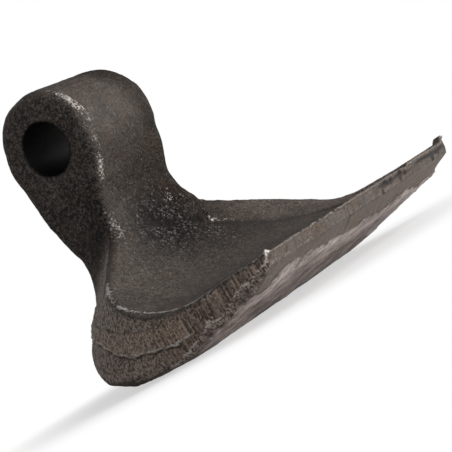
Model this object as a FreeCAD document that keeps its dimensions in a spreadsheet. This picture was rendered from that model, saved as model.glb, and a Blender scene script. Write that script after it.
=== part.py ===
import FreeCAD, Part
import math
import os
import Sketcher

Vector = FreeCAD.Vector

# Driving sizes, in millimetres and degrees.
# X runs along the bore, -Y towards the cutting edge and +Z up, from the middle of the bore.
SIZES = {
    "bore_diameter": 16.5,
    "eye_diameter": 35.0,
    "eye_width": 38.2,
    "blade_width": 127.2,
    # shank, seen from the side
    "shank_back": 10.0,
    "back_taper": 12.6,
    "back_radius": 30.0,
    "shank_front": 8.5,
    "front_taper": 25.4,
    "root_radius": 22.0,
    # scooped inner face and cutting edge
    "scoop_radius": 42.0,
    "floor_slope": 4.5,
    "edge_reach": 76.8,
    "edge_drop": 57.8,
    "nose_height": 3.9,
    "nose_lean": 1.4,
    "facet_run": 10.2,
    "facet_drop": 8.3,
    # sole and heel
    "sole_radius": 50.0,
    "sole_drop": 74.5,
    "sole_reach": 25.0,
    "heel_radius": 12.0,
    # shoulders, on a plane square to their slope
    "shoulder_slope": 50.0,
    "shoulder_fall": 29.6,
    "flare_radius": 13.0,
    "flare_level": 20.0,
    "corner_radius": 34.0,
    # roundings of the rims
    "eye_rim_radius": 3.4,
    "ridge_radius": 2.4,
    "heel_rim_radius": 6.6,
    "sole_rim_radius": 3.0,
    "lip_radius": 1.0,
    # flash left across the crown of the eye
    "crown_flash_radius": 3.6,
    "crown_flash_stand": 1.0,
    "crown_flash_angle": 47.0,
}

doc = FreeCAD.newDocument("shredder_hammer")
sheet = doc.addObject("Spreadsheet::Sheet", "sizes")
for row, (name, value) in enumerate(SIZES.items(), start=1):
    sheet.set("A%d" % row, name)
    sheet.set("B%d" % row, repr(value))
    sheet.setAlias("B%d" % row, name)
doc.recompute()


def size(name):
    return float(sheet.get(name))


def turned(length, degrees):
    """A vector of this length in a sketch, turned from the sketch's first axis."""
    angle = math.radians(degrees)
    return Vector(length * math.cos(angle), length * math.sin(angle), 0)


def origin_plane(body, role):
    for feature in body.Origin.OriginFeatures:
        if feature.Role == role:
            return feature
    raise ValueError(role)


class Outline:
    """A closed sketch drawn as a chain of lines and arcs, held by constraints."""

    def __init__(self, body, name, plane):
        self.sketch = body.newObject("Sketcher::SketchObject", name)
        self.sketch.AttachmentSupport = (origin_plane(body, plane), "")
        self.sketch.MapMode = "FlatFace"
        self.ends = []

    def line(self, start, end):
        index = self.sketch.addGeometry(Part.LineSegment(start, end))
        self.ends.append((index, 1, 2))
        return index

    def arc(self, centre, start, end, anticlockwise):
        first, last = (start, end) if anticlockwise else (end, start)
        circle = Part.Circle(centre, Vector(0, 0, 1), (start - centre).Length)
        angles = [math.atan2(p.y - centre.y, p.x - centre.x) for p in (first, last)]
        if angles[1] < angles[0]:
            angles[1] += 2 * math.pi
        index = self.sketch.addGeometry(Part.ArcOfCircle(circle, angles[0], angles[1]))
        self.ends.append((index, 1, 2) if anticlockwise else (index, 2, 1))
        return index

    def join(self, sharp=()):
        """Ties each piece of the chain to the next: tangent, or sharp after the pieces named."""
        for here, there in zip(self.ends, self.ends[1:] + self.ends[:1]):
            kind = "Coincident" if here[0] in sharp else "Tangent"
            self.sketch.addConstraint(Sketcher.Constraint(kind, here[0], here[2], there[0], there[1]))

    def hold(self, kind, where, formula):
        """One driving dimension, bound to the sheet."""
        value = self.sketch.evalExpression(formula)
        value = math.radians(value.Value) if kind == "Angle" else float(value)
        index = self.sketch.addConstraint(Sketcher.Constraint(kind, *where, value))
        self.sketch.setExpression("Constraints[%d]" % index, formula)
        return index


def side_profile(body):
    """The hammer from its side: eye, tapered shank, scooped face, wedge and rounded heel."""
    eye = size("eye_diameter") / 2
    lip = Vector(-size("edge_reach"), -size("edge_drop"), 0)
    nose = lip + Vector(size("nose_lean"), -size("nose_height"), 0)
    facet_end = lip + Vector(size("facet_run"), -size("facet_drop"), 0)

    back_normal = turned(1, -size("back_taper"))
    back_radius = size("back_radius")
    back = size("shank_back")
    back_rise = (back_normal.x * (back + back_radius) - eye - back_radius) / -back_normal.y
    back_centre = Vector(back + back_radius, back_rise, 0)

    sole = size("sole_radius")
    sole_centre = Vector(-size("sole_reach"), sole - size("sole_drop"), 0)
    heel = size("heel_radius")
    heel_across = back - heel - sole_centre.x
    heel_down = math.sqrt((sole - heel) ** 2 - heel_across ** 2)
    heel_centre = sole_centre + Vector(heel_across, -heel_down, 0)
    heel_meets_sole = sole_centre + (heel_centre - sole_centre).normalize() * sole
    to_facet = facet_end - sole_centre
    facet_bearing = math.degrees(math.atan2(to_facet.y, to_facet.x))
    sole_swing = math.degrees(math.acos(sole / to_facet.Length))
    sole_end = sole_centre + turned(sole, facet_bearing + sole_swing)

    front_normal = turned(1, 180 + size("front_taper"))
    root = size("root_radius")
    root_across = size("shank_front") + root
    root_rise = (eye + root + front_normal.x * root_across) / front_normal.y
    root_centre = Vector(-root_across, root_rise, 0)
    scoop = size("scoop_radius")
    floor_run = turned(1, -size("floor_slope"))
    floor_normal = turned(1, 90 - size("floor_slope"))
    above_lip = lip + floor_normal * scoop - root_centre
    along = above_lip.dot(floor_run)
    reach = above_lip.dot(above_lip) - (scoop - root) ** 2
    scoop_centre = root_centre + above_lip + floor_run * (-along - math.sqrt(along ** 2 - reach))
    scoop_meets_root = root_centre + (root_centre - scoop_centre).normalize() * root

    outline = Outline(body, "side_profile", "YZ_Plane")
    eye_arc = outline.arc(Vector(0, 0, 0), front_normal * eye, back_normal * eye, False)
    back_line = outline.line(back_normal * eye, back_centre - back_normal * back_radius)
    back_arc = outline.arc(back_centre, back_centre - back_normal * back_radius,
                           Vector(back, back_rise, 0), True)
    heel_line = outline.line(Vector(back, back_rise, 0), Vector(back, heel_centre.y, 0))
    heel_arc = outline.arc(heel_centre, Vector(back, heel_centre.y, 0), heel_meets_sole, False)
    sole_arc = outline.arc(sole_centre, heel_meets_sole, sole_end, False)
    outer_line = outline.line(sole_end, facet_end)
    facet_line = outline.line(facet_end, nose)
    nose_line = outline.line(nose, lip)
    floor_end = scoop_centre - floor_normal * scoop
    floor_line = outline.line(lip, floor_end)
    scoop_arc = outline.arc(scoop_centre, floor_end, scoop_meets_root, True)
    root_start = root_centre - front_normal * root
    root_arc = outline.arc(root_centre, scoop_meets_root, root_start, True)
    front_line = outline.line(root_start, front_normal * eye)
    outline.join(sharp=(outer_line, facet_line, nose_line))

    sketch = outline.sketch
    sketch.addConstraint(Sketcher.Constraint("Coincident", eye_arc, 3, -1, 1))
    sketch.addConstraint(Sketcher.Constraint("Vertical", heel_line))
    outline.hold("Radius", (eye_arc,), "sizes.eye_diameter / 2")
    outline.hold("Radius", (back_arc,), "sizes.back_radius")
    outline.hold("Radius", (heel_arc,), "sizes.heel_radius")
    outline.hold("Radius", (sole_arc,), "sizes.sole_radius")
    outline.hold("Radius", (scoop_arc,), "sizes.scoop_radius")
    outline.hold("Radius", (root_arc,), "sizes.root_radius")
    outline.hold("DistanceX", (-1, 1, heel_line, 2), "sizes.shank_back")
    outline.hold("DistanceX", (sole_arc, 3, -1, 1), "sizes.sole_reach")
    outline.hold("DistanceY", (sole_arc, 3, -1, 1), "sizes.sole_drop - sizes.sole_radius")
    outline.hold("DistanceX", (root_arc, 3, -1, 1), "sizes.shank_front + sizes.root_radius")
    outline.hold("DistanceX", (nose_line, 2, -1, 1), "sizes.edge_reach")
    outline.hold("DistanceY", (nose_line, 2, -1, 1), "sizes.edge_drop")
    outline.hold("DistanceX", (nose_line, 2, nose_line, 1), "sizes.nose_lean")
    outline.hold("DistanceY", (nose_line, 1, nose_line, 2), "sizes.nose_height")
    outline.hold("DistanceX", (nose_line, 2, facet_line, 1), "sizes.facet_run")
    outline.hold("DistanceY", (facet_line, 1, nose_line, 2), "sizes.facet_drop")
    outline.hold("Angle", (back_line,), "-90 deg - sizes.back_taper * 1 deg")
    outline.hold("Angle", (front_line,), "90 deg + sizes.front_taper * 1 deg")
    outline.hold("Angle", (floor_line,), "-sizes.floor_slope * 1 deg")
    return sketch


def shoulder_cut(body):
    """What is taken off beside the shank and behind one wing, square to the shoulder's slope."""
    half_eye = size("eye_width") / 2
    half_blade = size("blade_width") / 2
    flare = size("flare_radius")
    corner = size("corner_radius")
    fall = size("shoulder_fall")
    far = size("blade_width")

    normal = turned(1, 90 - fall)
    down_shoulder = turned(1, -fall)
    flare_centre = Vector(half_eye + flare, -size("flare_level"), 0)
    flare_end = flare_centre - normal * flare
    corner_across = half_blade - corner
    corner_start_across = corner_across + corner * normal.x
    along = (corner_start_across - flare_end.x) / down_shoulder.x
    corner_start = flare_end + down_shoulder * along
    corner_centre = corner_start - normal * corner

    outline = Outline(body, "shoulder_cut", "XY_Plane")
    flare_start = Vector(half_eye, flare_centre.y, 0)
    top = Vector(half_eye, far, 0)
    corner_end = Vector(half_blade, corner_centre.y, 0)
    low = Vector(half_blade, -far, 0)
    side_line = outline.line(top, flare_start)
    flare_arc = outline.arc(flare_centre, flare_start, flare_end, True)
    shoulder_line = outline.line(flare_end, corner_start)
    corner_arc = outline.arc(corner_centre, corner_start, corner_end, False)
    end_line = outline.line(corner_end, low)
    low_line = outline.line(low, Vector(far, -far, 0))
    out_line = outline.line(Vector(far, -far, 0), Vector(far, far, 0))
    top_line = outline.line(Vector(far, far, 0), top)
    outline.join(sharp=(end_line, low_line, out_line, top_line))

    sketch = outline.sketch
    for line in (side_line, end_line, out_line):
        sketch.addConstraint(Sketcher.Constraint("Vertical", line))
    for line in (low_line, top_line):
        sketch.addConstraint(Sketcher.Constraint("Horizontal", line))
    outline.hold("Radius", (flare_arc,), "sizes.flare_radius")
    outline.hold("Radius", (corner_arc,), "sizes.corner_radius")
    outline.hold("DistanceX", (-1, 1, side_line, 2), "sizes.eye_width / 2")
    outline.hold("DistanceX", (-1, 1, end_line, 2), "sizes.blade_width / 2")
    outline.hold("DistanceY", (flare_arc, 3, -1, 1), "sizes.flare_level")
    outline.hold("Angle", (shoulder_line,), "-sizes.shoulder_fall * 1 deg")
    outline.hold("DistanceX", (-1, 1, out_line, 2), "sizes.blade_width")
    outline.hold("DistanceY", (-1, 1, out_line, 2), "sizes.blade_width")
    outline.hold("DistanceY", (out_line, 1, -1, 1), "sizes.blade_width")
    sketch.AttachmentOffset = FreeCAD.Placement(Vector(0, 0, 0), Vector(1, 0, 0), size("shoulder_slope"))
    sketch.setExpression(".AttachmentOffset.Rotation.Angle", "sizes.shoulder_slope * 1 deg")
    return sketch


def across_hammer(face):
    """True for a face that runs straight across the hammer, as a line of the side profile does."""
    u0, u1, v0, v1 = face.ParameterRange
    spots = [(u0 + (u1 - u0) * a, v0 + (v1 - v0) * b) for a in (0.2, 0.8) for b in (0.2, 0.8)]
    return all(abs(face.normalAt(u, v).x) < 1e-6 for u, v in spots)


def rim_rounding(point):
    """How round a rim is at this point: fine at the lip, broad round the heel."""
    if point.y < -0.6 * size("edge_reach"):
        return size("lip_radius")
    if abs(point.x) < size("eye_width") / 2 + 0.01:
        return size("eye_rim_radius")
    under = point.z < -size("edge_drop") - size("nose_height")
    if under and point.y < -1.2 * size("sole_reach"):
        return size("sole_rim_radius")
    if point.y < 0 and not under:
        return size("ridge_radius")
    sunk = (-point.z / size("sole_drop") - 0.74) / 0.08
    grown = size("heel_rim_radius") - size("eye_rim_radius")
    return size("eye_rim_radius") + grown * min(max(sunk, 0), 1)


def rounded(base):
    """Rounds every rim, where the side profile meets the ends, flares, shoulders and corners."""
    rims = []
    for number, edge in enumerate(base.Shape.Edges, start=1):
        faces = base.Shape.ancestorsOfType(edge, Part.Face)
        if sum(across_hammer(face) for face in faces) == 1:
            ends = edge.valueAt(edge.FirstParameter), edge.valueAt(edge.LastParameter)
            rims.append((number, rim_rounding(ends[0]), rim_rounding(ends[1])))
    rounding = doc.addObject("Part::Fillet", "rims")
    rounding.Base = base
    rounding.Edges = rims
    return rounding


def place(feature, base):
    """Binds a feature's position to the sheet, one formula for each direction."""
    for direction, formula in base.items():
        feature.setExpression(".Placement.Base." + direction, formula)


def along_bore(name, radius, length):
    """A round bar along the bore, centred on the middle of the hammer."""
    bar = doc.addObject("Part::Cylinder", name)
    bar.setExpression("Radius", radius)
    bar.setExpression("Height", length)
    bar.Placement = FreeCAD.Placement(Vector(0, 0, 0), FreeCAD.Rotation(Vector(0, 1, 0), 90))
    place(bar, {"x": "-(%s) / 2" % length})
    return bar


def crown_flash():
    """The low ridge left where the flash was trimmed across the back of the eye's crown."""
    stand = "(sizes.eye_diameter / 2 + sizes.crown_flash_stand - sizes.crown_flash_radius)"
    where = {
        "y": stand + " * cos(sizes.crown_flash_angle * 1 deg)",
        "z": stand + " * sin(sizes.crown_flash_angle * 1 deg)",
    }
    length = "sizes.eye_width - 2 * sizes.crown_flash_radius - 2 * sizes.eye_rim_radius"
    bar = along_bore("crown_flash_bar", "sizes.crown_flash_radius", length)
    place(bar, where)
    pieces = [bar]
    for name, side in (("crown_flash_near", "-"), ("crown_flash_far", "")):
        ball = doc.addObject("Part::Sphere", name)
        ball.setExpression("Radius", "sizes.crown_flash_radius")
        place(ball, where | {"x": "%s(%s) / 2" % (side, length)})
        pieces.append(ball)
    return pieces


body = doc.addObject("PartDesign::Body", "forging")
blade = body.newObject("PartDesign::Pad", "blade_stock")
blade.Profile = side_profile(body)
blade.Midplane = True
blade.setExpression("Length", "sizes.blade_width")
doc.recompute()

shoulders = body.newObject("PartDesign::Pocket", "shoulders")
shoulders.Profile = shoulder_cut(body)
shoulders.Type = 1
shoulders.Midplane = True
both_sides = body.newObject("PartDesign::Mirrored", "both_shoulders")
both_sides.Originals = [shoulders]
both_sides.MirrorPlane = (origin_plane(body, "YZ_Plane"), [""])
body.Tip = both_sides
doc.recompute()

crowned = doc.addObject("Part::MultiFuse", "crowned")
crowned.Shapes = [rounded(both_sides)] + crown_flash()
hammer = doc.addObject("Part::Cut", "hammer")
hammer.Base = crowned
hammer.Tool = along_bore("bore", "sizes.bore_diameter / 2", "sizes.eye_width * 2")
hammer.Label = "hammer_forging"
doc.recompute()

for item in doc.Objects:
    if "Invalid" in item.State or "Error" in item.State:
        raise RuntimeError("%s did not build: %s" % (item.Name, item.State))
    if hasattr(item, "Shape") and (item.Shape.isNull() or not item.Shape.isValid()):
        raise RuntimeError("%s has no valid shape" % item.Name)
if len(hammer.Shape.Solids) != 1:
    raise RuntimeError("the hammer is not one solid")

os.makedirs("parts", exist_ok=True)
hammer.Shape.exportStep("parts/hammer_forging.step")
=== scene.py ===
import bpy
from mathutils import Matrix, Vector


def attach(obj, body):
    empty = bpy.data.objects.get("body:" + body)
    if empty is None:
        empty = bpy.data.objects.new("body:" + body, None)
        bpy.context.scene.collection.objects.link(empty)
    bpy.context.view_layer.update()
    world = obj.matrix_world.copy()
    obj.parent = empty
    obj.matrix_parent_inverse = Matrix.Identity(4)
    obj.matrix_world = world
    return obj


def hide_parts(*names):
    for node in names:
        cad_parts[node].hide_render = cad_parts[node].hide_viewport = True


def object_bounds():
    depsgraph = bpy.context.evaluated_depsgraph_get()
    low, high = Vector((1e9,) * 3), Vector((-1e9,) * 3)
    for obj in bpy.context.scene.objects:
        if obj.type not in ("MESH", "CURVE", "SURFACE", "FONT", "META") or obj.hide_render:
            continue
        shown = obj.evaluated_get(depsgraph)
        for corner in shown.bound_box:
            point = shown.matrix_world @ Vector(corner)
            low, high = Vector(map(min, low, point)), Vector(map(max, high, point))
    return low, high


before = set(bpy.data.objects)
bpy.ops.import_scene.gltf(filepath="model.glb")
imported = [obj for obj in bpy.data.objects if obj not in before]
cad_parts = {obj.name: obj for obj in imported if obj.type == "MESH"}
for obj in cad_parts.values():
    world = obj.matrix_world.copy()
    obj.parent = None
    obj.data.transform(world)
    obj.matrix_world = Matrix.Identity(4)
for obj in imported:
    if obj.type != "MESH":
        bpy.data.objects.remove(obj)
cad_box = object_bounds()

from types import SimpleNamespace

import bmesh
import bpy
import numpy as np
from mathutils import Matrix, Vector
from mathutils.bvhtree import BVHTree

# Lengths and places on the hammer are in millimetres, in the frame of the solid: X along the bore,
# -Y towards the cutting edge and +Z up. The camera, the lamps and the material's grains are in metres.
LOW, HIGH = (np.array(corner) * 1000 for corner in cad_box)
NEAR_END = LOW[0]
LIP_PLACE = (-76.6, -57.8)
LEAST_GAP = 0.002

# The wings were forged and trimmed along DRAW, which leaves every trimmed wall parallel to it.
DRAW = np.array((0, -0.438, 0.899))
ACROSS_DRAW = np.array((0, 0.899, 0.438))
# Square to the outer face and out of the steel.
OUTWARD = np.array((0, -0.23, -0.973))

# Where the lines on the trimmed wall run: place along ACROSS_DRAW, then height along DRAW.
BAND_TOP = ((-69.0, -37.0), (-62.9, -37.9), (-57.9, -39.4), (-52.6, -41.1), (-48.5, -42.3), (-44.7, -43.4),
            (-38.3, -43.5), (-34.9, -44.2), (-30.2, -45.3), (-22.0, -47.5))
BAND_LOW = ((-68.9, -41.0), (-63.5, -44.6), (-59.8, -45.7), (-55.8, -46.8), (-51.5, -48.0), (-47.3, -49.1),
            (-42.5, -49.4), (-38.9, -49.1), (-30.4, -48.8), (-22.0, -50.5))
# The ragged line where the wall broke away from the outer face: place along Y, then height.
TORN_LINE = ((-76.5, -58.2), (-75.0, -59.7), (-71.6, -61.4), (-68.1, -62.5), (-64.4, -62.6), (-61.6, -63.8),
             (-57.0, -65.8), (-53.2, -67.8), (-49.9, -67.0), (-44.1, -70.1), (-39.3, -71.5), (-33.9, -72.6),
             (-29.7, -73.4), (-20.0, -75.5))
# Where the ground cutting edge ends on the underside: place along X, then along Y.
GRIND_END = ((-63.6, -65.0), (-58.0, -65.8), (-55.0, -68.3), (-52.4, -71.8), (-40.6, -71.7), (-28.0, -70.5),
             (-13.7, -69.2), (1.1, -68.3), (12.0, -69.6), (20.3, -67.3), (30.0, -69.8), (37.5, -69.1),
             (47.0, -67.0), (55.8, -67.9), (63.6, -69.0))
# The worn rim of the eye, from the crown and down the shank.
WORN_EYE_EDGE = ((-14.5, -5.5, 15.9), (-16.5, -10.0, 14.2), (-16.7, -14.9, 8.9), (-16.5, -17.1, 3.2),
                 (-16.8, -17.0, -3.1), (-16.8, -15.0, -8.9), (-16.9, -11.8, -15.8), (-17.5, -9.0, -22.8),
                 (-19.0, -8.3, -28.0))
# The rim of the near wing, from the shoulder to the tip.
RIDGE = ((-44.5, -13.6, -43.5), (-50.3, -16.5, -46.9), (-55.7, -20.3, -50.5), (-58.5, -25.8, -53.8),
         (-59.1, -30.8, -56.3), (-60.7, -37.7, -58.7), (-62.2, -47.1, -60.0), (-62.4, -60.1, -59.4),
         (-62.8, -70.0, -58.5), (-63.0, -76.0, -57.8))
ROOT_CREASE = ((-8.5, -8.6, -30.6), (-3.8, -9.3, -33.7), (1.5, -10.5, -36.6), (9.7, -11.0, -38.0),
               (16.0, -12.0, -40.0))
SEAM = ((-12.5, -76.6, -58.6), (-13.4, -75.5, -61.6), (-11.5, -72.5, -63.2), (-10.2, -69.8, -64.4))
# Lines that rise with a dark groove beside them on the trimmed end: place along Y, then height.
END_CRACKS = (((-42.5, -60.6), (-47.0, -61.2), (-51.8, -60.9), (-57.0, -60.4)),
              ((-39.8, -61.9), (-38.4, -62.8), (-36.7, -64.0)),
              ((-49.4, -66.6), (-51.3, -65.9), (-54.0, -65.4)),
              ((-37.5, -67.8), (-40.6, -67.7), (-43.9, -67.2)))
CRACKS = tuple(tuple((NEAR_END, y, z) for y, z in line) for line in END_CRACKS)
# The edge of the lap on the far inner face, seen from above.
LAP_LINE = ((27.5, -9.0), (26.3, -10.0), (22.7, -11.5), (19.7, -14.0), (25.1, -16.2), (30.5, -19.3),
            (36.0, -24.5), (41.0, -29.0), (47.0, -34.0), (49.5, -42.0), (45.0, -56.0), (38.0, -67.0),
            (31.0, -76.8))
# How far the burr at the far end stands above the lip, by place along Y.
FAR_BURR = ((-76.8, 0.1), (-70.0, 0.35), (-60.0, 0.8), (-50.0, 1.25), (-43.0, 1.2), (-31.0, 0.0))
# Where the real forging swells beyond its plain form.
FAR_ROOT = ((16.4, -12.0, -14.0), (17.3, -9.1, -22.3), (18.6, -8.4, -28.9), (21.5, -9.0, -33.0))
FAR_SHOULDER = ((33.0, -13.0, -40.5), (46.2, -16.2, -45.6), (54.2, -21.3, -50.5), (58.0, -26.0, -53.5))
# Small beads of steel left on the outer face, near its far side.
SPATTER = ((53.3, -60.6, -67.5), (53.4, -51.0, -69.8), (50.7, -42.0, -71.9))
# Dark pits: where, and how wide. The second list is in the lip: place along X, and how wide.
PITS = (((-53.0, -75.8, -60.6), 0.8), ((-17.5, -58.3, -68.0), 1.6), ((11.6, -75.4, -61.5), 1.1),
        ((14.0, -76.2, -59.8), 1.6), ((18.0, -76.2, -59.8), 1.3), ((25.0, -76.2, -59.6), 1.4),
        ((29.0, -76.2, -60.2), 1.1), ((-63.3, -62.2, -66.3), 1.2), ((-63.3, -57.0, -68.4), 1.0),
        ((-19.0, -76.4, -58.6), 1.0))
LIP_PITS = ((-42.6, 1.1), (-37.5, 1.0), (-32.0, 1.3), (-29.1, 1.1), (-21.6, 1.1))
DENTS = PITS + tuple(((x, -76.6, -57.9), width) for x, width in LIP_PITS)
# Patches rubbed bright, or dull where the share is below 0: where, how wide and how much.
NUB = (-62.8, -76.2, -57.3)
HOOK = (62.3, -75.4, -56.4)
WORN_PATCHES = (((-50, -16.5, -46.9), 3, 0.35), ((-20, -9, -32), 4.5, 0.5), ((12, -9, -29.5), 4, 0.45),
                ((14, -18, -47), 11, 0.36), (NUB, 1.1, 1.1), (HOOK, 1.8, -0.9))


def ramp(value, low, high):
    """0 below low, 1 above high, and smooth between them."""
    share = np.clip((value - low) / (high - low), 0, 1)
    return share * share * (3 - 2 * share)


def near(distance, width):
    """1 where the distance is 0, fading out over about the width."""
    return np.exp(-(distance / width) ** 2)


def lattice(cells, seed):
    """A repeatable number from -1 to 1 for every whole-numbered cell."""
    mixed = cells.astype(np.int64) @ np.array((374761393, 668265263, 1442695041)) + seed * 974634777
    mixed = (mixed ^ (mixed >> 13)) * 1274126177 & 0xFFFFFFFF
    mixed = ((mixed ^ (mixed >> 15)) * 2246822519) & 0xFFFFFFFF
    return (mixed ^ (mixed >> 16)) / 2147483648.0 - 1


def swell(points, grain, seed):
    """Smooth unevenness from -1 to 1, with features about grain millimetres across."""
    spots = points / grain
    cells = np.floor(spots)
    share = spots - cells
    share = share * share * (3 - 2 * share)
    total = np.zeros(len(points))
    for corner in np.ndindex(2, 2, 2):
        weight = np.prod(np.where(corner, share, 1 - share), axis=1)
        total += weight * lattice(cells + corner, seed)
    return total


def pits(points, grain, seed, crowd):
    """Depth from 0 to 1 in a scatter of round pits, one at most in each cell of grain millimetres."""
    cells = np.floor(points / grain)
    deepest = np.zeros(len(points))
    for step in np.ndindex(3, 3, 3):
        cell = cells + step - 1
        centre = np.stack([lattice(cell, seed + k) for k in range(3)], axis=1) * 0.5 + 0.5 + cell
        width = (0.25 + 0.2 * lattice(cell, seed + 3)) * (lattice(cell, seed + 4) < crowd * 2 - 1)
        away = np.linalg.norm(points / grain - centre, axis=1)
        deepest = np.maximum(deepest, 1 - (away / np.maximum(width, 1e-6)) ** 2)
    return np.clip(deepest, 0, 1)


def away_from(points, path):
    """Distance of each point from a line through the path's points."""
    nearest = np.full(len(points), np.inf)
    for start, end in zip(np.array(path[:-1]), np.array(path[1:])):
        run = end - start
        share = np.clip((points - start) @ run / (run @ run), 0, 1)
        nearest = np.minimum(nearest, np.linalg.norm(points - start - share[:, None] * run, axis=1))
    return nearest


def follow(path, place):
    """The second number of a path at each place along its first."""
    return np.interp(place, *np.array(path).T)


class Surface:
    """The skin of the forging, in millimetres, with what its marks need to know about each point."""

    def __init__(self, mesh):
        self.mesh = mesh
        count = len(mesh.vertices)
        spots = np.empty(count * 3)
        mesh.vertices.foreach_get("co", spots)
        self.points = spots.reshape(-1, 3) * 1000
        edges = np.empty(len(mesh.edges) * 2, dtype=np.int64)
        mesh.edges.foreach_get("vertices", edges)
        self.edges = edges.reshape(-1, 2)
        self.meeting = np.bincount(edges, minlength=count)
        self.look()

    def look(self):
        """Writes the points to the mesh and reads back which way the skin faces."""
        self.mesh.vertices.foreach_set("co", (self.points / 1000).ravel())
        self.mesh.update()
        facing = np.empty(len(self.points) * 3)
        self.mesh.vertex_normals.foreach_get("vector", facing)
        self.normals = facing.reshape(-1, 3)
        self.x, self.y, self.z = self.points.T
        self.side = np.abs(self.x)

    def spread(self, values, turns):
        """Evens out a value over the skin, from each point to its neighbours."""
        first, last = self.edges.T
        for _ in range(turns):
            total = np.bincount(first, values[last], len(values)) + np.bincount(last, values[first], len(values))
            values = 0.5 * values + 0.5 * total / self.meeting
        return values

    def sharpness(self):
        """How far each point stands out from its neighbours: above 0 on a rim, below 0 in a hollow."""
        around = np.stack([self.spread(axis, 1) for axis in self.points.T], axis=1)
        return self.spread(((self.points - around) * self.normals).sum(axis=1), 3)

    def spot(self, place, width, stretch=(1, 1, 1)):
        """1 at the place and fading out over about the width, farther where it is stretched."""
        return near(np.linalg.norm((self.points - place) / stretch, axis=1), width)

    def keep(self, name, values):
        """Stores a mask on the mesh for the finish to read."""
        mask = self.mesh.attributes.new(name, "FLOAT", "POINT")
        mask.data.foreach_set("value", np.clip(values, 0, 1).astype(np.float32))


def wall_regions(skin):
    """Soft masks of the sheared wing ends: their layers and the lines between them."""
    side, normals = skin.side, skin.normals
    wall = ramp(side, 20.5, 26) * (1 - ramp(np.abs(normals @ DRAW), 0.3, 0.65)) * ramp(-skin.z, 22, 30)
    wall *= (1 - ramp(normals[:, 1], 0.8, 0.95)) * ramp(np.abs(normals[:, 0]), 0.15, 0.35)
    height, place = skin.points @ DRAW, skin.points @ ACROSS_DRAW
    ragged = 0.5 * swell(skin.points, 2.6, 11) + 0.3 * swell(skin.points, 1.1, 12)
    above_top = height - follow(BAND_TOP, place) + 1.3 * ragged
    above_low = height - follow(BAND_LOW, place) + 0.9 * ragged
    torn = follow(TORN_LINE, skin.y) + 1.1 * ragged - skin.z
    over_top, over_low = (ramp(above, -0.25, 0.25) for above in (above_top, above_low))
    banded = wall * ramp(place, -70, -64)
    behind_tip = ramp(-skin.y, 26, 34)
    return {
        "wall": wall * (1 - ramp(torn, -0.2, 0.3)),
        "upper_wall": wall * over_top,
        "band": banded * (1 - over_top) * over_low,
        "lower_wall": wall * (1 - over_low),
        "band_top_line": banded * near(above_top, 0.45),
        "above_band": banded * near(above_top - 0.85, 0.45),
        "band_low_line": banded * near(above_low - 0.2, 0.4),
        "under_band": banded * near(above_low + 0.6, 0.5),
        "torn_line": ramp(side, 60.5, 62.5) * near(torn, 0.5) * behind_tip,
        "torn_off": ramp(side, 57.5, 61.5) * ramp(torn, -0.2, 0.4) * behind_tip,
        "past_torn": torn,
    }


def face_regions(skin):
    """Soft masks of the outer face, the ground edge, the bore, the root and the scoop."""
    spots, normals = skin.points, skin.normals
    outer = ramp(normals @ OUTWARD, 0.55, 0.85) * ramp(-skin.y, 24, 32)
    nose = ramp(-normals[:, 1], 0.7, 0.85) * ramp(-skin.y, 72, 75)
    past_end = follow(GRIND_END, skin.x) + 0.9 * swell(spots, 4.5, 15) + 0.5 * swell(spots, 1.6, 16) - skin.y
    underneath = ramp(normals @ OUTWARD, 0.6, 0.85)
    return {
        "outer": np.maximum(outer, nose),
        "facet": np.maximum(ramp(past_end, -0.15, 0.15) * underneath, nose),
        "nose": nose,
        "grind_end": underneath * near(past_end + 0.35, 0.4),
        "bore": 1 - ramp(np.hypot(skin.y, skin.z), 8.5, 8.9),
        # Painted shade round the root of the shank, reaching the lower shank and the scoop.
        "shade": skin.spot((12, -12, -33), 21, (1.5, 1, 1.25)),
        "root": skin.spot((1, -12, -37), 14, (1.4, 1, 1)),
        "scoop": ramp(normals @ DRAW, 0.4, 0.75) * ramp(-skin.z, 40, 48),
    }


def lap_zone(skin):
    """Signed distance from the lap line, seen from above: above 0 on its smooth side."""
    flat = skin.points[:, :2]
    away = away_from(flat, LAP_LINE)
    beyond = follow([(-y, x) for x, y in LAP_LINE], -skin.y)
    return np.where(skin.x > beyond, away, -away)


def swellings(skin):
    """The broad unevenness that the plain solid leaves out: how far each point stands out or in."""
    spots, normals, x, y, z = skin.points, skin.normals, skin.x, skin.y, skin.z
    outer_face = ramp(normals @ OUTWARD, 0.6, 0.85)
    out = (1 + 0.9 * ramp(-z, 20, 29)) * near(away_from(spots, FAR_ROOT), 5)
    out += 0.6 * near(away_from(spots, FAR_SHOULDER), 4) * ramp(normals @ DRAW, 0.2, 0.6)
    out += 1.35 * near(z + 23, 11) * ramp(normals[:, 1], 0.2, 0.8)
    turn = np.degrees(np.arctan2(z, y))
    crown = ramp(-x, -2, 8) * ramp(np.hypot(y, z), 13, 16.5) * ramp(z, -9, -3)
    out -= crown * (0.65 * near(turn - 18, 20) + 0.5 * near(turn - 80, 14))
    out += 0.4 * outer_face * ramp(-y, 24, 34) * (1 - ramp(x, 20, 45))
    out -= 0.9 * ramp(-x, 46, 56) * ramp(-z, 69, 72) * (1 - ramp(-y, 28, 38))
    return out


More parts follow.
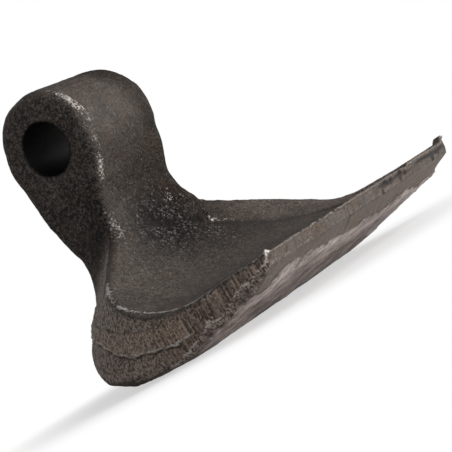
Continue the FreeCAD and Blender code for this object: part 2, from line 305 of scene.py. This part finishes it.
def hammered_scale(skin, part, coarse):
    """Waves, scale and pits of the forged skin, strongest round the root of the shank."""
    spots = skin.points
    calm = 1 - 0.8 * part["outer"] - 0.5 * part["scoop"] - 0.97 * part["bore"] - 0.9 * part["facet"]
    rough = 0.2 * swell(spots, 14, 1) + 0.13 * swell(spots, 6, 2) + 0.11 * swell(spots, 2.6, 3)
    rough += 0.09 * swell(spots, 1.3, 4) - 0.2 * pits(spots, 3.4, 20, 0.45) - 0.12 * pits(spots, 1.9, 30, 0.5)
    crags = 0.6 * np.abs(swell(spots, 3.2, 5)) + 0.4 * np.abs(swell(spots, 1.6, 17))
    crags += 0.4 * pits(spots, 2.8, 40, 0.8)
    return np.clip(calm, 0, 1) * rough - part["root"] * (1 - part["bore"]) * crags * (1 - coarse)


def combing(spots, fine, long, seed):
    """Unevenness drawn out in lines along DRAW."""
    return swell(np.stack([spots[:, 0], spots @ ACROSS_DRAW, spots @ DRAW], axis=1), (fine, fine, long), seed)


def trim_marks(skin, part):
    """The sheared wing ends: combed steel in two layers, with a torn edge towards the outer face."""
    spots = skin.points
    combed, wide = combing(spots, 0.8, 14, 6), combing(spots, 2.4, 22, 7)
    lumps = ramp(spots @ ACROSS_DRAW, -66, -50) * (0.14 * swell(spots, 1.7, 18) + 0.1 * swell(spots, 3.5, 19))
    out = part["upper_wall"] * (0.16 * combed + 0.16 * wide - 0.4 + lumps)
    out += part["band"] * (0.12 * combed + 0.14 * wide - 0.02)
    out -= part["lower_wall"] * (0.6 + 0.16 * np.abs(swell(spots, 1.6, 8)) + 0.12 * swell(spots, 3.4, 21))
    out += 0.25 * part["band_low_line"] - 0.55 * part["under_band"] - 0.3 * part["band_top_line"]
    out += 0.2 * part["torn_line"] - 0.5 * part["torn_off"] * part["wall"]
    out -= part["torn_off"] * (0.7 * np.abs(swell(spots, 3.6, 22)) + 0.15 * np.abs(swell(spots, 1.5, 39)))
    for crack in CRACKS:
        away = away_from(spots, crack)
        out += 0.35 * near(away, 0.5) - 0.2 * near(away - 1, 0.5)
    return out


def grind_marks(skin, part):
    """The ground cutting edge, a little sunk, with cross scratches, and the drawn face behind it."""
    spots = skin.points
    out = part["facet"] * (0.025 * swell(spots, (0.8, 9, 9), 9) - 0.2) + 0.25 * part["grind_end"]
    drawn = 0.08 * swell(spots, (10, 1.1, 1.1), 10) + 0.14 * swell(spots, 5, 23) + 0.07 * swell(spots, 2.4, 40)
    out += (part["outer"] - part["facet"]).clip(0, 1) * (drawn - 0.2 * pits(spots, 5, 50, 0.35))
    return out - 0.35 * near(away_from(spots, SEAM), 0.4)


def lap_marks(skin, inner, lap, beyond):
    """The step and groove along the lap line, and the rougher steel before it."""
    step = 0.3 * ramp(lap, -0.4, 0.4) - 0.35 * near(lap + 0.8, 0.7)
    return inner * (step + (1 - beyond) * near(lap, 9) * (0.16 * swell(skin.points, 2.2, 24) - 0.1))


def ragged_crease(skin):
    """The broken fold across the root of the shank, 1 in its middle."""
    wander = 1.5 * swell(skin.points, 3.4, 25) + 0.8 * swell(skin.points, 1.5, 31)
    return near(away_from(skin.points, ROOT_CREASE) + wander, 1.1) * ramp(swell(skin.points, 4.5, 32), -0.5, 0.2)


def burrs(skin, moved):
    """Steel pushed past the edges: the far end's rim and hook, the near tip's nub, nicks along the lip."""
    spots, x, y, z = skin.points, skin.x, skin.y, skin.z
    rim = ramp(skin.normals[:, 2], 0.1, 0.6) * ramp(-z, 50, 53) * ramp(x, 60.3, 62.4)
    moved[:, 2] += rim * follow(FAR_BURR, y) * (1 + 0.25 * swell(spots, 4, 13))
    hook = ramp(x, 59.8, 61.6) * ramp(-y, 72.6, 74) * ramp(z, -60.5, -58.6)
    moved[:, 2] += 1.5 * hook
    moved[:, 0] -= 0.3 * hook
    moved[:, 2] += 0.9 * skin.spot((-62.9, -76.3, -57.9), 1.1)
    nicked = ramp(-y, 75.4, 76.5) * ramp(swell(spots * (1, 0, 0), 2.3, 14), 0.2, 0.6)
    moved[:, 1] += 0.3 * nicked
    moved[:, 2] -= 0.25 * nicked * ramp(z, -59, -58)
    for place in SPATTER:
        moved += skin.normals * (0.5 * skin.spot(place, 1.1))[:, None]
    for place, width in DENTS:
        moved -= skin.normals * (0.55 * width * skin.spot(place, 0.6 * width))[:, None]


def forge(skin):
    """Gives the smooth skin the marks of a real forging, and never leaves the solid's box."""
    skin.points = skin.points + skin.normals * swellings(skin)[:, None]
    skin.look()
    spots = skin.points
    part = {**wall_regions(skin), **face_regions(skin)}
    lap = lap_zone(skin)
    inner = (part["scoop"] + ramp(skin.normals @ DRAW, 0.4, 0.75) * ramp(-skin.z, 33, 36)).clip(0, 1)
    beyond = inner * ramp(lap, -0.2, 0.6)
    part["beyond_lap"] = beyond
    part["before_lap"] = inner * (1 - beyond) * near(lap, 7) * ramp(skin.x, 12, 22)
    part["lap_line"] = inner * near(lap + 0.25 * swell(spots, 1.5, 33), 0.35)
    raised = hammered_scale(skin, part, beyond) + trim_marks(skin, part) + grind_marks(skin, part)
    raised += lap_marks(skin, inner, lap, beyond) - 0.45 * ragged_crease(skin)
    moved = spots + skin.normals * raised[:, None]
    burrs(skin, moved)
    skin.points = np.clip(moved, LOW + LEAST_GAP, HIGH - LEAST_GAP)
    skin.look()
    return part


def dents(skin):
    return sum(skin.spot(place, 0.75 * width) for place, width in DENTS)


def worn_and_lit_places(skin, part, edge):
    """How far each place is made bright: rims rubbed bright, lines that stand out, single patches, and painted
    light on the far wing's rim.
    """
    spots, x, y, z = skin.points, skin.x, skin.y, skin.z
    eye_rim = near(away_from(spots, WORN_EYE_EDGE), 1.9) * (0.6 + 0.4 * ramp(z, -24, 2))
    eye_rim *= 1.25 * (0.55 + 0.45 * swell(spots, 7, 26))
    ridge = near(away_from(spots, RIDGE), 0.9) * (0.95 + 0.45 * swell(spots, 2.2, 27))
    lip = near(np.hypot(y - LIP_PLACE[0], z - LIP_PLACE[1]), 0.75)
    lip *= (0.75 + 0.5 * swell(spots, 2, 36)) * (1 - 0.8 * ramp(x, -22, -12))
    lines = (1 + 0.5 * swell(spots, 2, 37)) * part["torn_line"] + 0.95 * part["band_low_line"]
    lines += 0.6 * part["above_band"] + 0.6 * sum(near(away_from(spots, crack), 0.6) for crack in CRACKS)
    lines += part["lap_line"] * (0.52 - 0.25 * ramp(x, 22, 32)) + 0.35 * part["grind_end"]
    # Painted light: the far wing's rim lightened like a rubbed edge.
    lines += 0.55 * ramp(x, 59.5, 61.5) * ramp(-y, 30, 40) * ramp(skin.normals[:, 2], 0, 0.3)
    patches = sum(share * skin.spot(place, width) for place, width, share in WORN_PATCHES)
    worn = 0.5 * ramp(edge, 0.045, 0.12) + 0.8 * eye_rim + 0.75 * ridge + 0.8 * lip + lines + patches
    return worn - 1.5 * dents(skin)


def lip_shadow(skin):
    """A dark line under the lip with streaks below it, on the far two thirds."""
    across = skin.points * (1, 0, 0)
    dark = near(skin.z + 59.4 + 0.5 * swell(across, 5, 28), 0.55)
    streaks = swell(skin.points * (1, 0.12, 0.12), 1.3, 29) + 0.5 * swell(across, 5, 30)
    dark += ramp(streaks, 0.35, 0.8) * near(skin.z + 60.5, 1.4)
    return dark * ramp(-skin.y, 74, 75.5) * ramp(skin.x, -14, -4) * (0.75 + 0.6 * swell(across, 6, 38))


def shaded_hollows(skin, part, edge):
    """How far each place is painted dark as shade: hollows, grooves, the crease, pits, the seam, under the lip
    and under the hook.
    """
    spots = skin.points
    grooves = 0.5 * part["under_band"] + 0.5 * part["band_top_line"] + 0.45 * part["before_lap"]
    grooves += 0.7 * part["grind_end"] * ramp(swell(spots, 1.8, 41), 0, 0.5) * ramp(skin.x, -25, 5)
    grooves += 1.05 * near(away_from(spots, SEAM), 0.5) + 0.8 * lip_shadow(skin) + 1.3 * ragged_crease(skin)
    torn = part["torn_off"] * ramp(swell(spots, 1.9, 35), 0.1, 0.6) * ramp(-part["past_torn"], -4, -2.5)
    under_hook = 0.7 * skin.spot((62.6, -75.6, -56.6), 2.2)
    return ramp(-edge, 0.03, 0.11) + grooves + 0.5 * torn + under_hook + 1.3 * dents(skin)


def keep_masks(skin, part):
    """Works out where the finish is rubbed bright, ground or trimmed, and where light and shade are painted, and
    stores it on the mesh.
    """
    spots, x, y, z, normals = skin.points, skin.x, skin.y, skin.z, skin.normals
    edge = skin.sharpness()
    beyond = ramp(part["past_torn"] + 1.2 * swell(spots, 3, 34), 2.2, 3.4)
    broken = part["torn_off"] * (1 - beyond) * ramp(-x, 50, 60)
    # Painted light on the far wing's rim, which the lamps leave in shade.
    far_rim_painted_light = (ramp(x, 52, 60) * ramp(-y, 26, 38) * ramp(normals[:, 2], 0, 0.3)).clip(0, 1)
    # Painted shade on the lower far side of the crown.
    far_crown_shade = 0.7 * ramp(x, 0, 14) * ramp(np.hypot(y, z), 13, 16) * ramp(z, -34, -20)
    drawn_face = part["outer"] * (0.85 + 0.15 * ramp(-y, 50, 62)) + 0.6 * part["torn_off"]
    masks = {name: part[name] for name in ("facet", "nose", "band", "bore", "root")}
    masks.update({
        "worn": worn_and_lit_places(skin, part, edge),
        "hollow": shaded_hollows(skin, part, edge),
        "broken": broken,
        "ground": drawn_face * (1 - broken),
        "far_inner": far_rim_painted_light + 0.35 * part["beyond_lap"],
        "trimmed": part["wall"],
        "combed": part["wall"] * ramp(-(spots @ ACROSS_DRAW), 52, 66) + 0.5 * part["band"],
        "smooth": 0.45 * part["scoop"] + 0.75 * part["beyond_lap"] - part["before_lap"] - 0.8 * part["root"],
        "shade": np.maximum(part["shade"], far_crown_shade),
        # Where the near face of the eye takes its painted shade.
        "near_face": ramp(-normals[:, 0], 0.75, 0.95) * (1 - ramp(skin.side, 20, 24)),
    })
    for name, values in masks.items():
        skin.keep(name, values)
    return tuple(masks)


class Signal:
    """A number that varies over the surface and can stand in a sum like any other."""

    def __init__(self, shader, socket):
        self.shader = shader
        self.socket = socket

    def _maths(self, operation, first, second):
        made = self.shader.node("ShaderNodeMath", {"operation": operation}, {0: first, 1: second})
        return Signal(self.shader, made.outputs[0])

    def __add__(self, other):
        return self._maths("ADD", self, other)

    __radd__ = __add__

    def __sub__(self, other):
        return self._maths("SUBTRACT", self, other)

    def __rsub__(self, other):
        return self._maths("SUBTRACT", other, self)

    def __mul__(self, other):
        return self._maths("MULTIPLY", self, other)

    __rmul__ = __mul__


class Shader:
    """The nodes of a material or of the surroundings."""

    def __init__(self, owner):
        owner.use_nodes = True
        self.tree = owner.node_tree
        self.tree.nodes.clear()

    def node(self, kind, settings=(), sockets=()):
        """A node of this kind, with its settings made first and then its sockets set or linked."""
        made = self.tree.nodes.new(kind)
        for name, value in dict(settings).items():
            setattr(made, name, value)
        for name, value in dict(sockets).items():
            if isinstance(value, Signal):
                self.tree.links.new(value.socket, made.inputs[name])
            else:
                made.inputs[name].default_value = value
        return made

    def signal(self, kind, settings=(), sockets=(), output=0):
        """The given output of a new node."""
        return Signal(self, self.node(kind, settings, sockets).outputs[output])


class Finish(Shader):
    """A material that reads its place on the object."""

    def __init__(self, name):
        self.material = bpy.data.materials.new(name)
        super().__init__(self.material)
        self.place = self.signal("ShaderNodeTexCoord", output="Object")

    def mask(self, name):
        return self.signal("ShaderNodeAttribute", {"attribute_name": name}, output="Fac")

    def grain(self, size, detail, rough, stretch=(1, 1, 1), turn=(0, 0, 0), shift=0.0):
        """Cloudy noise, 0 to 1, with features about size metres across."""
        place = self.signal("ShaderNodeMapping", (), {
            "Vector": self.place, "Location": (shift, shift, shift), "Rotation": turn, "Scale": stretch})
        return self.signal("ShaderNodeTexNoise", (), {
            "Vector": place, "Scale": 1 / size, "Detail": detail, "Roughness": rough}, "Fac")

    def between(self, value, low, high):
        """0 where value is at low, 1 where it is at high."""
        return self.signal("ShaderNodeMapRange", {"interpolation_type": "SMOOTHSTEP"}, {
            "Value": value, "From Min": low, "From Max": high}, "Result")

    def blend(self, share, first, second, kind="MIX"):
        """The first colour where share is 0 and the second where it is 1."""
        first, second = (value if isinstance(value, Signal) else (*value, 1) for value in (first, second))
        return self.signal("ShaderNodeMix", {"data_type": "RGBA", "blend_type": kind}, {
            0: share, 6: first, 7: second}, 2)

    def tint(self, share, colour, by):
        """The colour, multiplied by another where share is 1."""
        return self.blend(share, colour, by, "MULTIPLY")


def grains(steel):
    """The noises that the finish is made of: blotches, flecks, and lines combed, scraped or drawn."""
    made = SimpleNamespace(
        cloud=steel.grain(0.008, 3, 0.6),
        mottle=steel.grain(0.0015, 2, 0.7, shift=0.3),
        fleck=steel.grain(0.0007, 1.5, 0.7, shift=0.7),
        rust=steel.grain(0.005, 4, 0.7, shift=1.1),
        clump=steel.grain(0.0032, 2, 0.6, shift=2.3),
        combed=steel.grain(0.0007, 2, 0.7, stretch=(1, 1, 0.05), turn=(-0.453, 0, 0)),
        scraped=steel.grain(0.0006, 2, 0.7, stretch=(1, 0.05, 0.05)),
        drawn=steel.grain(0.0012, 2, 0.65, stretch=(0.12, 1, 1), shift=0.4))
    made.speck = 0.35 * made.mottle + 0.65 * made.fleck
    return made


def forged_skin(steel, mask, grain):
    """Colour of the dark scale: painted shade on the near face and round the root of the shank, crusted round the
    root, smoother in the scoop.
    """
    rusty = steel.between(grain.rust, 0.5, 0.68) * 0.45
    spotted = grain.speck + 0.2 * grain.cloud
    scale = steel.blend(steel.between(spotted, 0.45, 0.8), (0.026, 0.021, 0.018), (0.098, 0.084, 0.074))
    scale = steel.blend(rusty, scale, (0.07, 0.042, 0.029))
    # Painted shade: a darker copy of the scale for the near face of the eye.
    shaded = steel.blend(steel.between(spotted, 0.5, 0.74), (0.009, 0.007, 0.006), (0.115, 0.094, 0.079))
    shaded = steel.blend(rusty, shaded, (0.065, 0.036, 0.026))
    fine = steel.between(grain.speck * 0.8 + grain.cloud * 0.2, 0.36, 0.66)
    even = steel.blend(fine, (0.028, 0.023, 0.02), (0.125, 0.108, 0.097))
    skin = steel.tint(1.0, steel.blend(mask.smooth, scale, even), (1.03, 0.98, 0.93))
    skin = steel.blend(mask.near_face, skin, shaded)
    # Painted light: the far wing's rim and, more faintly, the inner face beyond the lap made lighter.
    skin = steel.tint(mask.far_inner, skin, (1.35, 1.27, 1.27))
    # Painted shade round the root of the shank and on the far crown.
    skin = steel.tint(mask.shade, skin, (0.42, 0.4, 0.38))
    chips = steel.between(grain.mottle * 0.4 + grain.fleck * 0.6 + 0.35 * grain.clump, 0.62, 0.88)
    crusted = steel.blend(chips, (0.006, 0.005, 0.005), (0.085, 0.074, 0.066))
    dark_root = steel.between(mask.root + 0.9 * grain.clump + 0.3 * grain.mottle, 0.85, 1.5)
    return steel.blend(dark_root, skin, crusted)


def trimmed_wall(steel, mask, grain):
    """Colour of the sheared wing ends: brown, combed towards the tips and lighter in the band."""
    rough = steel.blend(steel.between(grain.speck, 0.38, 0.62), (0.06, 0.044, 0.035), (0.36, 0.29, 0.25))
    lines = steel.between(grain.combed * 0.6 + grain.fleck * 0.4, 0.4, 0.62)
    combed = steel.blend(lines, (0.055, 0.038, 0.029), (0.31, 0.235, 0.19))
    return steel.tint(mask.band, steel.blend(mask.combed, rough, combed), (1.3, 1.3, 1.25))


def ground_edge(steel, mask, grain):
    """Colour of the ground facet and nose: brown-grey steel with fine scratches across it, with painted shade on
    the nose.
    """
    scratched = steel.between(grain.scraped * 0.4 + grain.fleck * 0.6, 0.37, 0.63)
    edge = steel.blend(scratched, (0.1, 0.079, 0.067), (0.215, 0.18, 0.156))
    edge = steel.tint(steel.between(grain.cloud, 0.42, 0.66) * 0.6, edge, (0.98, 0.82, 0.68))
    # Painted shade: the nose darkened against the low front lamp's light on it.
    return steel.tint(mask.nose, edge, (0.66, 0.66, 0.66))


def steel_colour(steel, mask, grain, bright):
    """Colour of the whole hammer, from the scale up to the bright rims and the painted shade in the hollows."""
    skin = forged_skin(steel, mask, grain)
    skin = steel.blend(mask.trimmed, skin, trimmed_wall(steel, mask, grain))
    blotch = grain.cloud * 0.4 + grain.clump * 0.25 + grain.speck * 0.35
    # The outer face's ground steel is lighter than the scale, and painted lighter still as light from the floor
    # below.
    outer = steel.blend(steel.between(blotch, 0.4, 0.6), (0.17, 0.138, 0.13), (0.62, 0.54, 0.51))
    skin = steel.blend(mask.ground * (1 - mask.facet), skin, outer)
    fracture = steel.blend(steel.between(grain.speck, 0.4, 0.6), (0.06, 0.044, 0.037), (0.34, 0.27, 0.235))
    skin = steel.blend(mask.broken, skin, fracture)
    skin = steel.blend(mask.facet, skin, ground_edge(steel, mask, grain))
    sparks = steel.between(grain.fleck + 0.1 * mask.root + 0.35 * grain.mottle, 0.86, 0.98)
    skin = steel.blend(sparks * 0.45 * (1 - mask.trimmed), skin, (0.28, 0.25, 0.23))
    skin = steel.blend(bright * 0.9, skin, (0.5, 0.46, 0.43))
    # Painted shade: near black in the hollows, grooves, crease, pits and seam.
    hollow_shade = steel.between(mask.hollow + 0.7 * grain.speck, 0.5, 1.1)
    skin = steel.blend(hollow_shade * 0.85 * (1 - bright), skin, (0.014, 0.011, 0.01))
    # Painted shade: the bore near black, as shade inside the hole.
    return steel.blend(mask.bore, skin, (0.016, 0.014, 0.014))


def steel_relief(mask, grain):
    """Fine relief that the mesh is too coarse for, quiet in the bore and on the ground faces."""
    relief = grain.speck * (1.0 + 0.8 * mask.root) * (1 - 0.6 * mask.ground - 0.3 * mask.smooth)
    relief += 0.7 * mask.combed * grain.combed + 0.4 * mask.facet * grain.scraped
    return (relief + 0.25 * mask.ground * grain.drawn) * (1 - 0.85 * mask.bore)


def forged_steel(names):
    """Dark scale over a hammered skin, brown trimmed walls, ground edge and rims rubbed bright, with painted
    light and shade.
    """
    steel = Finish("forged_steel")
    mask = SimpleNamespace(**{name: steel.mask(name) for name in names})
    grain = grains(steel)
    bright = steel.between(mask.worn * 0.95 + grain.fleck * 1.3 + grain.mottle * 0.5, 1.3, 1.75)
    polish = (mask.ground + bright) * 0.5
    bump = steel.signal("ShaderNodeBump", (), {
        "Height": steel_relief(mask, grain), "Strength": 1.0, "Distance": 0.0005})
    shader = steel.signal("ShaderNodeBsdfPrincipled", (), {
        "Base Color": steel_colour(steel, mask, grain, bright),
        "Roughness": 0.58 - 0.14 * polish + 0.2 * grain.speck - 0.08 * mask.facet - 0.1 * mask.bore,
        # More metallic under the painted shade, which darkens it further.
        "Metallic": 0.3 + 0.4 * polish + 0.7 * mask.bore + 0.7 * mask.shade,
        "Normal": bump})
    steel.node("ShaderNodeOutputMaterial", {"is_active_output": True}, {"Surface": shader})
    return steel.material


def even_skin():
    """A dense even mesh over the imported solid, which itself stays as it is."""
    loose = bmesh.new()
    loose.from_mesh(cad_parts["hammer_forging"].data)
    bmesh.ops.remove_doubles(loose, verts=loose.verts, dist=1e-6)
    solid = BVHTree.FromBMesh(loose)
    merged = bpy.data.meshes.new("blank")
    loose.to_mesh(merged)
    loose.free()
    blank = bpy.data.objects.new("blank", merged)
    bpy.context.scene.collection.objects.link(blank)
    even = blank.modifiers.new("even skin", "REMESH")
    even.mode = "VOXEL"
    even.voxel_size = 0.00067
    graph = bpy.context.evaluated_depsgraph_get()
    mesh = bpy.data.meshes.new_from_object(blank.evaluated_get(graph))
    bpy.data.objects.remove(blank)
    for point in mesh.vertices:
        point.co = solid.find_nearest(point.co)[0]
    return mesh


def hammer():
    """The whole forging, worked and finished."""
    mesh = even_skin()
    skin = Surface(mesh)
    names = keep_masks(skin, forge(skin))
    mesh.materials.clear()
    mesh.materials.append(forged_steel(names))
    mesh.shade_smooth()
    piece = bpy.data.objects.new("shredder_hammer", mesh)
    bpy.context.scene.collection.objects.link(piece)
    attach(piece, "root")
    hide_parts("hammer_forging")


def white_surroundings():
    """Soft grey light from all round, and white where the camera looks past the hammer."""
    world = bpy.data.worlds.new("surroundings")
    bpy.context.scene.world = world
    sky = Shader(world)
    seen = sky.signal("ShaderNodeLightPath", output="Is Camera Ray")
    soft = sky.signal("ShaderNodeBackground", (), {"Color": (0.17, 0.17, 0.17, 1)})
    white = sky.signal("ShaderNodeBackground", (), {"Color": (1, 1, 1, 1)})
    mix = sky.signal("ShaderNodeMixShader", (), {0: seen, 1: soft, 2: white})
    sky.node("ShaderNodeOutputWorld", (), {"Surface": mix})


def floor():
    """A pale floor that keeps the hammer's shadow and fades to white away from it."""
    pale = Finish("pale_floor")
    away = pale.signal("ShaderNodeVectorMath", {"operation": "LENGTH"}, {0: pale.place}, "Value")
    clear = pale.between(away, 0.045, 0.105)
    seen = pale.signal("ShaderNodeLightPath", output="Is Camera Ray")
    cloth = pale.signal("ShaderNodeBsdfDiffuse", (), {"Color": (0.93, 0.93, 0.93, 1)})
    white = pale.signal("ShaderNodeEmission", (), {"Color": (1, 1, 1, 1), "Strength": 1.0})
    mix = pale.signal("ShaderNodeMixShader", (), {0: (0.55 + 0.45 * clear) * seen, 1: cloth, 2: white})
    pale.node("ShaderNodeOutputMaterial", (), {"Surface": mix})

    half = 4.0
    mesh = bpy.data.meshes.new("floor")
    mesh.from_pydata([(-half, -half, 0), (half, -half, 0), (half, half, 0), (-half, half, 0)], [], [(0, 1, 2, 3)])
    mesh.materials.append(pale.material)
    sheet = bpy.data.objects.new("floor", mesh)
    sheet.location = (0, -0.02, cad_box[0][2] - 0.0001)
    bpy.context.scene.collection.objects.link(sheet)


def lamp(name, place, width, height, watts):
    """A soft lamp that looks at the middle of the hammer."""
    data = bpy.data.lights.new(name, "AREA")
    data.shape = "RECTANGLE"
    data.size = width
    data.size_y = height
    data.energy = watts
    seat = bpy.data.objects.new(name, data)
    seat.location = place
    seat.rotation_euler = (Vector((0, -0.02, -0.04)) - Vector(place)).to_track_quat("-Z", "Y").to_euler()
    bpy.context.scene.collection.objects.link(seat)


def camera():
    """The photo's view, level and from the near end, rolled to the right."""
    data = bpy.data.cameras.new("camera")
    data.sensor_width = 36
    data.lens = 143.36
    data.clip_start = 0.01
    seat = bpy.data.objects.new("camera", data)
    bpy.context.scene.collection.objects.link(seat)
    right = Vector((0.463, -0.732, -0.5)).normalized()
    back = Vector((-0.845, -0.535, 0)).normalized()
    turn = Matrix((right, back.cross(right), back)).transposed()
    seat.matrix_world = Matrix.Translation((-0.4563, -0.3182, -0.0471)) @ turn.to_4x4()
    bpy.context.scene.camera = seat


hammer()
white_surroundings()
floor()
lamp("key", (0.15, -1.05, 0.8), 0.8, 0.8, 7.0)
lamp("low front", (0.1, -1.2, -0.005), 1.0, 0.12, 14.5)
lamp("far side", (0.9, -0.5, 0.25), 0.6, 0.4, 1.7)
lamp("near side", (-0.9, -0.1, 0.3), 0.6, 0.6, 0.7)
lamp("back", (0.3, 1.1, 0.8), 0.8, 0.8, 2.0)
camera()
bpy.context.scene.view_settings.view_transform = "Standard"
